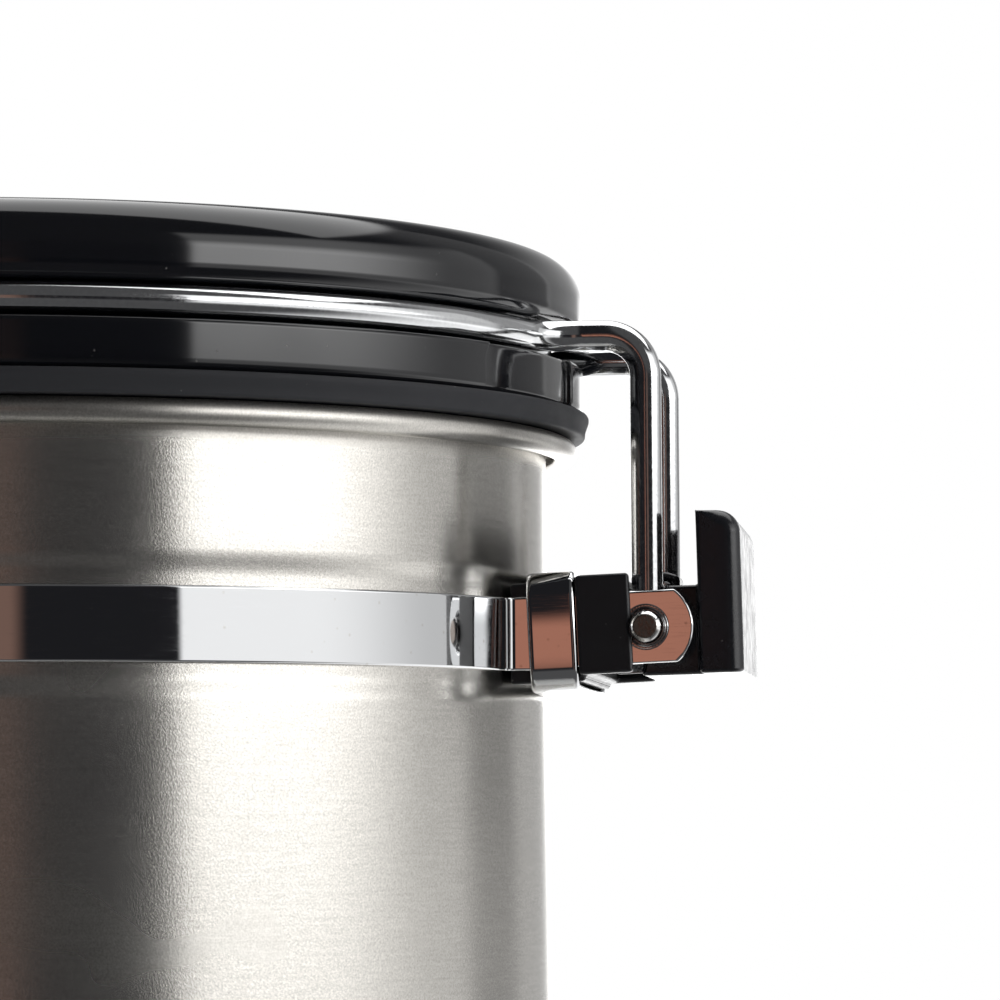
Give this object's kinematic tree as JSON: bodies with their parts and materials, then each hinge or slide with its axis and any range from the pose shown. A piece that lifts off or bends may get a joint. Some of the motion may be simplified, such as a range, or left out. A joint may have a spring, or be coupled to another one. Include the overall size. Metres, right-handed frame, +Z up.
{
  "type": "coffee canister with a clamp lid and a one-way valve",
  "caption": "Round steel coffee canister with a black lid held by a wire bail, a lever latch, a rear hinge and a one-way valve in the lid.",
  "frame": {"origin": "centre of the can's foot, on the table", "axes": "+Z up along the can's axis, +X from the axis to the latch, -X to the hinge"},
  "size_m": [0.1533, 0.125, 0.1803],
  "materials": {
    "steel": "fine horizontal brushing",
    "chrome": "polished",
    "lid_plastic": "gloss",
    "block_plastic": "satin",
    "lever_plastic": "satin",
    "liner_plastic": "matt",
    "silicone": "matt",
    "valve_plastic": "matt",
    "flap_silicone": "satin",
    "filter_felt": "felt"
  },
  "bodies": {
    "can": {"can_shell": "steel", "can_base": "steel", "strap_near": "chrome", "strap_far": "chrome", "latch_collar": "chrome", "latch_block": "block_plastic", "latch_pin": "chrome", "hinge_collar": "chrome", "hinge_block": "block_plastic"},
    "lever": {"latch_lever": "lever_plastic"},
    "lid": {"bail_wire": "chrome", "lid_shell": "lid_plastic", "lid_seal": "silicone", "lid_liner": "liner_plastic", "liner_screws": "steel", "valve_body": "valve_plastic", "valve_filter": "filter_felt", "valve_cover": "lid_plastic", "valve_ring": "silicone"},
    "flap": {"valve_flap": "flap_silicone"}
  },
  "joints": [
    {"name": "lever_turn", "type": "hinge", "parent": "can", "child": "lever", "pos_m": [0.0695, 0, 0.13893], "axis": [0, 1, 0], "range_deg": [0, 95]},
    {"name": "lid_hinge", "type": "hinge", "parent": "can", "child": "lid", "pos_m": [-0.0695, 0, 0.13893], "axis": [0, -1, 0], "range_deg": [0, 105]},
    {"name": "flap_lift", "type": "slide", "parent": "lid", "child": "flap", "axis": [0, 0, 1], "range_m": [0, 0.0008]}
  ]
}
